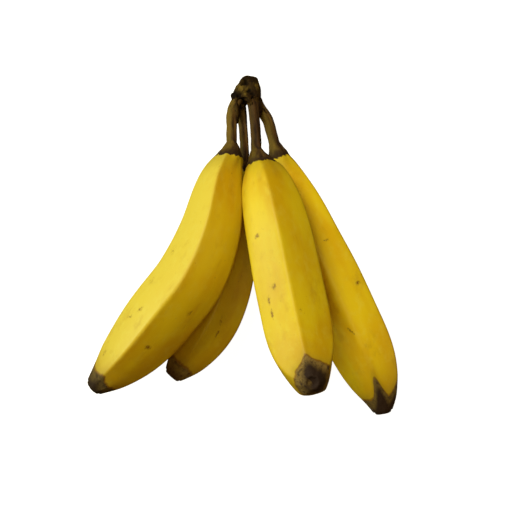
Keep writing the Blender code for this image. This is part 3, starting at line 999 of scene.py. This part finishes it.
LEFT_FLECKS = flecks_at([
    (141, 309, 45, 2.0, 0.9, 35, 0.55), (131, 316, 40, 1.6, 0.8, 20, 0.55),
    (190, 313, 50, 2.0, 0.7, 40, 0.60), (149, 346.5, 40, 1.6, 1.1, 10, 1.0),
    (173, 250, 55, 3.2, 1.2, 60, 0.25), (151, 281, 50, 3.2, 1.1, 45, 0.25),
    (106, 352, 30, 2.2, 0.9, 60, 0.40),
])
FRONT_FLECKS = flecks_at([
    (257, 236, 63, 1.6, 1.1, 70, 0.70), (274, 287, 70, 1.8, 1.1, 80, 0.65),
    (269, 300.5, 72, 2.2, 0.8, 95, 0.75), (272, 314, 74, 2.8, 0.7, 105, 0.85),
    (301, 310, 75, 1.6, 0.8, 100, 0.45),
])
RIGHT_FLECKS = flecks_at([
    (326, 240, 30, 1.8, 0.8, 20, 0.40), (358, 283, 30, 1.3, 1.0, 30, 0.80),
    (351, 331, 33, 3.0, 0.6, -40, 0.60),
])
BACK_FLECKS = flecks_at([
    (221, 321, 26, 3.0, 0.6, 80, 0.55), (217, 334, 26, 3.6, 0.6, 60, 0.60),
])
print("flecks:", len(LEFT_FLECKS) + len(FRONT_FLECKS) + len(RIGHT_FLECKS) + len(BACK_FLECKS))

# %% [markdown]
# ## Dress the four bananas
#
# Each skin is built, pressed on the table, given its own peel and declared to stand for its plain solid.
# The print shows how far its box is from the solid's, which should be a few tenths of a millimetre.

# %% Add the four skins
def dress_banana(banana, looks, flecks):
    """Builds a skin, gives it its peel, and lets it stand for its plain solid."""
    mesh = skin_mesh(banana, looks)
    rest_on_table(mesh)
    skin = add_piece(banana.name + "_skin", mesh, [])
    bpy.context.view_layer.update()
    skin.data.materials.append(peel_material("peel_of_" + banana.name, skin, flecks, looks))
    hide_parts(banana.name)
    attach(skin, "root")
    low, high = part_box(banana.name)
    points = [vert.co for vert in skin.data.vertices]
    grown = [max(p[axis] for p in points) - high[axis] for axis in range(3)]
    print(banana.name, len(skin.data.polygons), "faces, past its solid by",
          [round(value / MM, 2) for value in grown], "mm")


dress_banana(LEFT, LEFT_LOOKS, LEFT_FLECKS)
dress_banana(FRONT, FRONT_LOOKS, FRONT_FLECKS)
dress_banana(RIGHT, RIGHT_LOOKS, RIGHT_FLECKS)
dress_banana(BACK, BACK_LOOKS, BACK_FLECKS)

# %% [markdown]
# ## The crown
#
# The crown is the woody block where the four stems meet. It grew as one tissue with them, so it has no
# seams: it swells into a knuckle round each stem, and webs of skin join neighbouring stems. It starts as
# closed bodies that overlap, each made with an operator. A voxel remesh then melts them into one skin,
# which is smoothed a little, so the joints turn into soft valleys.

# %% Bodies of the crown
CROWN_MIDDLE = Vector((0.5, 75.0, 8.4)) * MM
CROWN_REACH = Vector((8.4, 16.6, 9.0)) * MM
CROWN_SQUARENESS = 3.0
CROWN_TAPER_POWER = 1.6
CROWN_LEAN = 0.20
CUT_PLACE = Vector((2.8, 89.9, 8.4)) * MM
CUT_DIRECTION = Vector((0.12, 1.0, 0.35)).normalized()
CROWN_BEND = 79.0 * MM
CROWN_CLOSING = 4.5 * MM
ON_PLANE = 0.01 * MM


def slice_off(mesh, place, direction):
    """Cuts away everything beyond a plane and closes the cut."""
    everything = mesh.verts[:] + mesh.edges[:] + mesh.faces[:]
    cut = bmesh.ops.bisect_plane(
        mesh, geom=everything, dist=ON_PLANE, plane_co=place, plane_no=direction, clear_outer=True
    )
    edges = [item for item in cut["geom_cut"] if isinstance(item, bmesh.types.BMEdge)]
    bmesh.ops.holes_fill(mesh, edges=edges, sides=0)


def dome():
    """A squarish dome, sliced where it was cut from the plant and rounded off where the stems leave it."""
    mesh = bmesh.new()
    upright = Matrix.Rotation(math.pi / 2, 4, "X")
    bmesh.ops.create_uvsphere(mesh, u_segments=72, v_segments=48, radius=1.0, matrix=upright)
    above_bend = CROWN_MIDDLE.y + CROWN_REACH.y - CROWN_BEND
    for vert in mesh.verts:
        angle = math.atan2(vert.co.z, vert.co.x)
        share = max(-1.0, min(1.0, vert.co.y))
        along = CROWN_BEND + share * (above_bend if share > 0 else CROWN_CLOSING) - CROWN_MIDDLE.y
        taper = math.sqrt(1 - min(1.0, abs(along) / CROWN_REACH.y) ** CROWN_TAPER_POWER)
        closing = math.sqrt(1 - min(0.0, share) ** 2)
        corners = abs(math.cos(angle)) ** CROWN_SQUARENESS + abs(math.sin(angle)) ** CROWN_SQUARENESS
        reach = taper * closing * corners ** (-1 / CROWN_SQUARENESS)
        across = CROWN_REACH.x * reach * math.cos(angle) + CROWN_LEAN * along
        vert.co = CROWN_MIDDLE + Vector((across, along, CROWN_REACH.z * reach * math.sin(angle)))
    slice_off(mesh, CUT_PLACE, CUT_DIRECTION)
    return mesh


print("the crown is cut", round(CUT_PLACE.y / MM), "mm from the middle of the hand")

# %% Knuckles and webs
KNUCKLE_LENGTH = 13.0 * MM
KNUCKLE_RINGS = 24
KNUCKLE_SWELL = 1.0 * MM
KNUCKLE_SINK = 0.5 * MM
KNUCKLE_POWER = 1.5
# The webs and the knob at the left each have a middle and a reach, and a raised rib is a row of small bodies.
WEBS = [((-3.7, 71.5, 13.0), (1.7, 7.8, 5.5)), ((8.0, 73.0, 9.0), (2.0, 5.4, 5.0))]
KNOB = ((-4.7, 79.2, 10.5), (2.7, 2.4, 4.0))
RIB = [((4.4 - 1.1 * step, 74.6 + 1.6 * step, 15.4), (1.3, 1.6, 2.1)) for step in range(5)]


def knuckle(banana):
    """A tapering sleeve round the root of a stem, which ends just under the stem's own bark."""
    route = routes[banana.name]
    mesh = tube(KNUCKLE_RINGS)
    for vert in mesh.verts:
        share = vert.co.z
        directions, place = route.frame_at(share * KNUCKLE_LENGTH)
        bark = banana.stem_radius * MM + BARK_THICKNESS
        radius = bark + KNUCKLE_SWELL * (1 - share) ** KNUCKLE_POWER - KNUCKLE_SINK * share
        flat = Vector((vert.co.x, vert.co.y, 0)).normalized()
        vert.co = directions @ (flat * radius) + place
    return mesh


def blob(middle, reach):
    """A closed egg shape, in millimetres."""
    mesh = bmesh.new()
    matrix = Matrix.LocRotScale(Vector(middle) * MM, None, Vector(reach) * MM)
    bmesh.ops.create_icosphere(mesh, subdivisions=4, radius=1.0, matrix=matrix)
    return mesh


crown_bodies = [dome()]
crown_bodies += [knuckle(banana) for banana in (LEFT, FRONT, RIGHT, BACK)]
crown_bodies += [blob(middle, reach) for middle, reach in (*WEBS, KNOB, *RIB)]

# %% Melt the bodies into one
CROWN_VOXEL = 0.27 * MM
CROWN_SMOOTHING = 10


def melted(bodies):
    """One closed skin round all of the bodies, which are used up."""
    whole = bmesh.new()
    for body in bodies:
        data = bpy.data.meshes.new("body")
        body.to_mesh(data)
        body.free()
        whole.from_mesh(data)
        bpy.data.meshes.remove(data)
    rough = add_piece("crown_bodies", whole, [])
    remesh = rough.modifiers.new("melt", "REMESH")
    remesh.mode = "VOXEL"
    remesh.voxel_size = CROWN_VOXEL
    data = bpy.data.meshes.new_from_object(rough.evaluated_get(bpy.context.evaluated_depsgraph_get()))
    bpy.data.objects.remove(rough)
    skin = bmesh.new()
    skin.from_mesh(data)
    bpy.data.meshes.remove(data)
    for _ in range(CROWN_SMOOTHING):
        bmesh.ops.smooth_vert(
            skin, verts=skin.verts[:], factor=0.5, use_axis_x=True, use_axis_y=True, use_axis_z=True
        )
    return skin


print("crown skin: cells of", round(CROWN_VOXEL / MM, 2), "mm, smoothed", CROWN_SMOOTHING, "times")

# %% [markdown]
# The cut end has shrunk round a black hollow, and smaller dark places lie between the roots and on the knob
# at the left. The dark between the roots is painted shade, where they crowd together, and the black of the
# hollow is partly the dried wood and partly painted shade. The sides are gnarled: broad lumps, with fine
# grooves between old fibres that run from the cut towards the stems. Each point of the skin moves along its
# own normal. It also remembers how dark its place is, painted shade included, and how near it is to the cut,
# and how much old olive skin is left on it.

# %% Hollow, lumps and fibres
# Each dark place has its x and y, its radius and its depth, in millimetres. Each olive one has no depth.
DARK_AND_SHADE_PLACES = [
    (0.9, 86.2, 1.6, 2.2), (3.2, 81.6, 1.3, 0.5), (4.6, 80.0, 1.5, 0.7), (4.9, 77.8, 0.9, 0.6),
    # the first and last places on this row, between the roots, are sunk a little and darkened as painted
    # shade
    (-0.9, 76.2, 2.2, 1.2), (-4.9, 79.2, 2.3, 0.0), (-2.2, 78.4, 1.3, 0.4),
]
OLIVE_PLACES = [(-1.6, 83.2, 2.8), (0.8, 82.4, 2.0), (7.0, 83.8, 1.6), (-6.5, 73.5, 1.8), (0.6, 79.4, 1.3)]
DARK_CRISPNESS = 4
OLIVE_CRISPNESS = 2
RAGGEDNESS = 0.9
RAG_SIZE = 2.0 * MM
GNARL_SIZE = 4.5 * MM
GNARL_DEPTH = 0.55 * MM
FIBRE_WIDTH = 0.9 * MM
FIBRE_LENGTH = 9.0 * MM
FIBRE_DEPTH = 0.30 * MM
FIBRE_LEVEL = 0.7
GROOVE_POWER = 0.7
GRAIN_SIZE = 0.7 * MM
GRAIN_DEPTH = 0.10 * MM
CUT_REACH = 5.5 * MM


def nearness(here, x, y, radius, crispness):
    """From 1 at a place seen from above to 0 well past its radius, with a ragged border."""
    ragged = 1 + RAGGEDNESS * noise.noise(here / RAG_SIZE)
    away = math.hypot(here.x / MM - x, here.y / MM - y) / radius
    return math.exp(-((ragged * away) ** crispness))


def carve(mesh):
    """Sinks the dark places, moves every point by the relief, and notes what the material needs to know."""
    mesh.normal_update()
    dark_and_shade_layer = mesh.verts.layers.float.new("dark_and_shade")
    cut_layer = mesh.verts.layers.float.new("near_cut")
    olive_layer = mesh.verts.layers.float.new("olive")
    moves = []
    for vert in mesh.verts:
        here = vert.co.copy()
        upper = 1.0 if vert.normal.z > 0 else 0.0
        dark = [upper * nearness(here, x, y, radius, DARK_CRISPNESS) for x, y, radius, _ in DARK_AND_SHADE_PLACES]
        sunk = sum(share * depth for share, (_, _, _, depth) in zip(dark, DARK_AND_SHADE_PLACES)) * MM
        gnarls = noise.noise(here / GNARL_SIZE)
        along = Vector((here.x / FIBRE_WIDTH, here.y / FIBRE_LENGTH, here.z / FIBRE_WIDTH))
        grooves = abs(noise.noise(along)) ** GROOVE_POWER
        grain = noise.noise(here / GRAIN_SIZE)
        relief = GNARL_DEPTH * gnarls - FIBRE_DEPTH * (FIBRE_LEVEL - grooves) + GRAIN_DEPTH * grain
        past_cut = (here - CUT_PLACE).dot(CUT_DIRECTION)
        # painted shade: between the roots this darkness stands for shade, and in the hollow it is partly
        # shade
        vert[dark_and_shade_layer] = max(dark)
        olive = [nearness(here, x, y, radius, OLIVE_CRISPNESS) for x, y, radius in OLIVE_PLACES]
        vert[olive_layer] = upper * max(olive)
        vert[cut_layer] = math.exp(min(0.0, past_cut) / CUT_REACH)
        moves.append(vert.normal * (relief - sunk))
    for vert, move in zip(mesh.verts, moves):
        vert.co += move
    return mesh

# %% [markdown]
# The wood is dry and matte. It is dark brown at the cut, nearly black in the hollow and in the painted shade
# between the roots, and lower down some old olive skin is left on it in streaks. Its last few millimetres
# pass into the bark of the stems, so it has the same browns.

# %% Crown material
WOOD_DARK = "#201308"
WOOD_BROWN = "#432E14"
WOOD_OLIVE = "#756028"
BLACK_HOLLOW_AND_SHADE = "#120A05"
WOOD_GRAIN_WIDTH = 1.3 * MM
WOOD_GRAIN_LENGTH = 9.0 * MM
WOOD_PATCH = 2.5 * MM
BROWN_GRAIN = (0.38, 0.64, 0.0, 1.0)
OLIVE_GRAIN = (0.35, 0.60, 0.0, 1.0)
OLIVE_PATCHES = (0.35, 0.60, 0.0, 0.15)
WORN_SKIN = (0.20, 0.60, 0.0, 0.8)
CUT_DARKNESS = 0.95
WOOD_ROUGHNESS = 0.85
WOOD_IOR = 1.45
WOOD_SPECULAR = 0.12
WOOD_BUMP_STRENGTH = 0.8
WOOD_BUMP_HEIGHT = 0.35 * MM


def crown_material():
    """Dried, fibrous wood of a cut crown: rough and matte."""
    material = bpy.data.materials.new("dried_crown_wood")
    material.use_nodes = True
    tree = material.node_tree
    shader = tree.nodes["Principled BSDF"]
    place = add(tree, "ShaderNodeTexCoord").outputs["Object"]
    dark_and_shade, near_cut, old_skin = (
        add(tree, "ShaderNodeAttribute", attribute_name=layer).outputs["Fac"]
        for layer in ("dark_and_shade", "near_cut", "olive")
    )
    scale = (1 / WOOD_GRAIN_WIDTH, 1 / WOOD_GRAIN_LENGTH, 1 / WOOD_GRAIN_WIDTH)
    along = add(tree, "ShaderNodeMapping", {"Vector": place, "Scale": scale}, vector_type="POINT")
    fibres = add(tree, "ShaderNodeTexNoise", {"Vector": along, "Scale": 1.0, "Detail": 4.0})
    patches = add(tree, "ShaderNodeTexNoise", {"Vector": place, "Scale": 1 / WOOD_PATCH, "Detail": 2.0})

    worn = add(tree, "ShaderNodeMapRange", (patches, *WORN_SKIN), **SOFTLY)
    left_over = add(tree, "ShaderNodeMath", (old_skin, worn), operation="MULTIPLY")
    patchy = add(tree, "ShaderNodeMapRange", (patches, *OLIVE_PATCHES), **SOFTLY)
    grainy = add(tree, "ShaderNodeMapRange", (fibres, *OLIVE_GRAIN), **SOFTLY)
    olive = add(tree, "ShaderNodeMath", (patchy, grainy, left_over), operation="MULTIPLY_ADD")
    dried = add(tree, "ShaderNodeMath", (near_cut, CUT_DARKNESS), operation="MULTIPLY")
    wood = coat(tree, colour(WOOD_DARK), colour(WOOD_BROWN), fibres, BROWN_GRAIN)
    wood = coat(tree, wood, colour(WOOD_DARK), dried)
    wood = coat(tree, wood, colour(WOOD_OLIVE), olive)
    # painted shade between the roots, and partly painted shade in the hollow
    wood = coat(tree, wood, colour(BLACK_HOLLOW_AND_SHADE), dark_and_shade)
    tree.links.new(wood, shader.inputs["Base Color"])

    shader.inputs["Roughness"].default_value = WOOD_ROUGHNESS
    shader.inputs["IOR"].default_value = WOOD_IOR
    shader.inputs["Specular IOR Level"].default_value = WOOD_SPECULAR
    bump = {"Height": fibres, "Strength": WOOD_BUMP_STRENGTH, "Distance": WOOD_BUMP_HEIGHT}
    tree.links.new(add(tree, "ShaderNodeBump", bump).outputs["Normal"], shader.inputs["Normal"])
    return material

# %% Add the crown
crown_skin = carve(melted(crown_bodies))
rest_on_table(crown_skin)
crown_piece = add_piece("crown_skin", crown_skin, [crown_material()])
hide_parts("crown")
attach(crown_piece, "root")
print("crown:", len(crown_piece.data.polygons), "faces")
